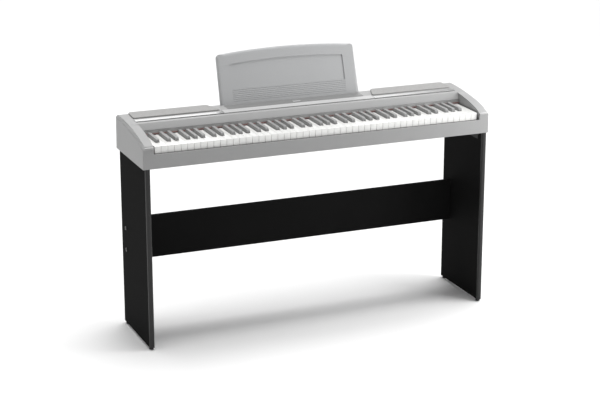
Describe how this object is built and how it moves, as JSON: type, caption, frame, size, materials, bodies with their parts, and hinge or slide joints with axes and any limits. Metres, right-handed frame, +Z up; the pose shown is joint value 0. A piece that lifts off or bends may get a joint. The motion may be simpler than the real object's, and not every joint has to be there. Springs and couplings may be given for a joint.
{
  "type": "digital piano on stand",
  "caption": "Grey slab digital piano with hinged keys, speaker grilles and a lift-out music rest, on a black stand of two side boards and a cross board.",
  "frame": {"origin": "on the floor, under the middle of the footprint", "axes": "+X from the bass end to the treble end, +Y from the player to the back, +Z up"},
  "size_m": [1.312, 0.369, 0.9581],
  "materials": {
    "black_key": "grey, satin",
    "black_laminate": "black laminate with a fine satin grain",
    "black_metal": "black pressed metal and paper cone",
    "black_plastic": "black moulded",
    "button_plastic": "pale grey satin",
    "case_plastic": "light grey satin moulding with a fine texture",
    "chassis_plastic": "dark grey moulding",
    "circuit_board": "green laminate",
    "dark_plastic": "mid grey matt",
    "dark_steel": "blackened steel",
    "grille_cloth": "warm grey speaker cloth",
    "red_felt": "dark red felt",
    "rest_plastic": "cool grey satin",
    "silver_trim": "bright satin silver",
    "white_key": "white, glossy"
  },
  "bodies": {
    "piano_and_stand": {"barrel_nut_left_high": "dark_steel", "barrel_nut_left_low": "dark_steel", "barrel_nut_right_high": "dark_steel", "barrel_nut_right_low": "dark_steel", "bolt_left_high": "dark_steel", "bolt_left_low": "dark_steel", "bolt_right_high": "dark_steel", "bolt_right_low": "dark_steel", "bracket_left": "dark_steel", "bracket_right": "dark_steel", "contact_board": "circuit_board", "cross_board": "black_laminate", "fallboard": "dark_plastic", "glide_left_front": "black_plastic", "glide_left_rear": "black_plastic", "glide_right_front": "black_plastic", "glide_right_rear": "black_plastic", "grille_left": "grille_cloth", "grille_right": "grille_cloth", "key_felt": "red_felt", "key_frame": "chassis_plastic", "lower_case": "case_plastic", "main_board": "circuit_board", "pedal_socket": "black_plastic", "phones_socket": "black_plastic", "power_inlet": "black_plastic", "speaker_left": "black_metal", "speaker_right": "black_metal", "stand_side_left": "black_laminate", "stand_side_right": "black_laminate", "stop_felt": "red_felt", "thumb_screw_left_front": "black_plastic", "thumb_screw_left_rear": "black_plastic", "thumb_screw_right_front": "black_plastic", "thumb_screw_right_rear": "black_plastic", "trim_left": "silver_trim", "trim_right": "silver_trim", "upper_case": "case_plastic"},
    "alto_black_keys": {"alto_black_keys": "black_key"},
    "alto_white_keys": {"alto_white_keys": "white_key"},
    "bass_black_keys": {"bass_black_keys": "black_key"},
    "bass_white_keys": {"bass_white_keys": "white_key"},
    "key_a4": {"key_a4": "white_key"},
    "key_a_sharp4": {"key_a_sharp4": "black_key"},
    "key_b4": {"key_b4": "white_key"},
    "key_c4": {"key_c4": "white_key"},
    "key_c_sharp4": {"key_c_sharp4": "black_key"},
    "key_d4": {"key_d4": "white_key"},
    "key_d_sharp4": {"key_d_sharp4": "black_key"},
    "key_e4": {"key_e4": "white_key"},
    "key_f4": {"key_f4": "white_key"},
    "key_f_sharp4": {"key_f_sharp4": "black_key"},
    "key_g4": {"key_g4": "white_key"},
    "key_g_sharp4": {"key_g_sharp4": "black_key"},
    "music_rest": {"music_rest": "rest_plastic"},
    "power_button": {"power_button": "button_plastic"},
    "tenor_black_keys": {"tenor_black_keys": "black_key"},
    "tenor_white_keys": {"tenor_white_keys": "white_key"},
    "treble_black_keys": {"treble_black_keys": "black_key"},
    "treble_white_keys": {"treble_white_keys": "white_key"}
  },
  "joints": [
    {"name": "alto_black_keys_press", "type": "hinge", "parent": "piano_and_stand", "child": "alto_black_keys", "pos_m": [0, 0.03354, 0.7261], "axis": [1, 0, 0], "range_deg": [0, 2.9], "stiffness_Nm_per_rad": 6, "springref_deg": -11.46},
    {"name": "alto_white_keys_press", "type": "hinge", "parent": "piano_and_stand", "child": "alto_white_keys", "pos_m": [0, 0.01554, 0.7176], "axis": [1, 0, 0], "range_deg": [0, 2.9], "stiffness_Nm_per_rad": 9.8, "springref_deg": -11.46},
    {"name": "bass_black_keys_press", "type": "hinge", "parent": "piano_and_stand", "child": "bass_black_keys", "pos_m": [0, 0.03354, 0.7261], "axis": [1, 0, 0], "range_deg": [0, 2.9], "stiffness_Nm_per_rad": 3.6, "springref_deg": -11.46},
    {"name": "bass_white_keys_press", "type": "hinge", "parent": "piano_and_stand", "child": "bass_white_keys", "pos_m": [0, 0.01554, 0.7176], "axis": [1, 0, 0], "range_deg": [0, 2.9], "stiffness_Nm_per_rad": 6.3, "springref_deg": -11.46},
    {"name": "key_a4_press", "type": "hinge", "parent": "piano_and_stand", "child": "key_a4", "pos_m": [0, 0.01554, 0.7176], "axis": [1, 0, 0], "range_deg": [0, 2.9], "stiffness_Nm_per_rad": 0.7, "springref_deg": -11.46},
    {"name": "key_a_sharp4_press", "type": "hinge", "parent": "piano_and_stand", "child": "key_a_sharp4", "pos_m": [0, 0.03354, 0.7261], "axis": [1, 0, 0], "range_deg": [0, 2.9], "stiffness_Nm_per_rad": 0.6, "springref_deg": -11.46},
    {"name": "key_b4_press", "type": "hinge", "parent": "piano_and_stand", "child": "key_b4", "pos_m": [0, 0.01554, 0.7176], "axis": [1, 0, 0], "range_deg": [0, 2.9], "stiffness_Nm_per_rad": 0.7, "springref_deg": -11.46},
    {"name": "key_c4_press", "type": "hinge", "parent": "piano_and_stand", "child": "key_c4", "pos_m": [0, 0.01554, 0.7176], "axis": [1, 0, 0], "range_deg": [0, 2.9], "stiffness_Nm_per_rad": 0.7, "springref_deg": -11.46},
    {"name": "key_c_sharp4_press", "type": "hinge", "parent": "piano_and_stand", "child": "key_c_sharp4", "pos_m": [0, 0.03354, 0.7261], "axis": [1, 0, 0], "range_deg": [0, 2.9], "stiffness_Nm_per_rad": 0.6, "springref_deg": -11.46},
    {"name": "key_d4_press", "type": "hinge", "parent": "piano_and_stand", "child": "key_d4", "pos_m": [0, 0.01554, 0.7176], "axis": [1, 0, 0], "range_deg": [0, 2.9], "stiffness_Nm_per_rad": 0.7, "springref_deg": -11.46},
    {"name": "key_d_sharp4_press", "type": "hinge", "parent": "piano_and_stand", "child": "key_d_sharp4", "pos_m": [0, 0.03354, 0.7261], "axis": [1, 0, 0], "range_deg": [0, 2.9], "stiffness_Nm_per_rad": 0.6, "springref_deg": -11.46},
    {"name": "key_e4_press", "type": "hinge", "parent": "piano_and_stand", "child": "key_e4", "pos_m": [0, 0.01554, 0.7176], "axis": [1, 0, 0], "range_deg": [0, 2.9], "stiffness_Nm_per_rad": 0.7, "springref_deg": -11.46},
    {"name": "key_f4_press", "type": "hinge", "parent": "piano_and_stand", "child": "key_f4", "pos_m": [0, 0.01554, 0.7176], "axis": [1, 0, 0], "range_deg": [0, 2.9], "stiffness_Nm_per_rad": 0.7, "springref_deg": -11.46},
    {"name": "key_f_sharp4_press", "type": "hinge", "parent": "piano_and_stand", "child": "key_f_sharp4", "pos_m": [0, 0.03354, 0.7261], "axis": [1, 0, 0], "range_deg": [0, 2.9], "stiffness_Nm_per_rad": 0.6, "springref_deg": -11.46},
    {"name": "key_g4_press", "type": "hinge", "parent": "piano_and_stand", "child": "key_g4", "pos_m": [0, 0.01554, 0.7176], "axis": [1, 0, 0], "range_deg": [0, 2.9], "stiffness_Nm_per_rad": 0.7, "springref_deg": -11.46},
    {"name": "key_g_sharp4_press", "type": "hinge", "parent": "piano_and_stand", "child": "key_g_sharp4", "pos_m": [0, 0.03354, 0.7261], "axis": [1, 0, 0], "range_deg": [0, 2.9], "stiffness_Nm_per_rad": 0.6, "springref_deg": -11.46},
    {"name": "music_rest_lift", "type": "slide", "parent": "piano_and_stand", "child": "music_rest", "axis": [0, 0.314, 0.9494], "range_m": [0, 0.015]},
    {"name": "power_button_press", "type": "slide", "parent": "piano_and_stand", "child": "power_button", "axis": [0, 0, -1], "range_m": [0, 0.0012], "stiffness_N_per_m": 400, "springref_m": -0.002},
    {"name": "tenor_black_keys_press", "type": "hinge", "parent": "piano_and_stand", "child": "tenor_black_keys", "pos_m": [0, 0.03354, 0.7261], "axis": [1, 0, 0], "range_deg": [0, 2.9], "stiffness_Nm_per_rad": 6, "springref_deg": -11.46},
    {"name": "tenor_white_keys_press", "type": "hinge", "parent": "piano_and_stand", "child": "tenor_white_keys", "pos_m": [0, 0.01554, 0.7176], "axis": [1, 0, 0], "range_deg": [0, 2.9], "stiffness_Nm_per_rad": 9.8, "springref_deg": -11.46},
    {"name": "treble_black_keys_press", "type": "hinge", "parent": "piano_and_stand", "child": "treble_black_keys", "pos_m": [0, 0.03354, 0.7261], "axis": [1, 0, 0], "range_deg": [0, 2.9], "stiffness_Nm_per_rad": 3, "springref_deg": -11.46},
    {"name": "treble_white_keys_press", "type": "hinge", "parent": "piano_and_stand", "child": "treble_white_keys", "pos_m": [0, 0.01554, 0.7176], "axis": [1, 0, 0], "range_deg": [0, 2.9], "stiffness_Nm_per_rad": 5.6, "springref_deg": -11.46}
  ]
}
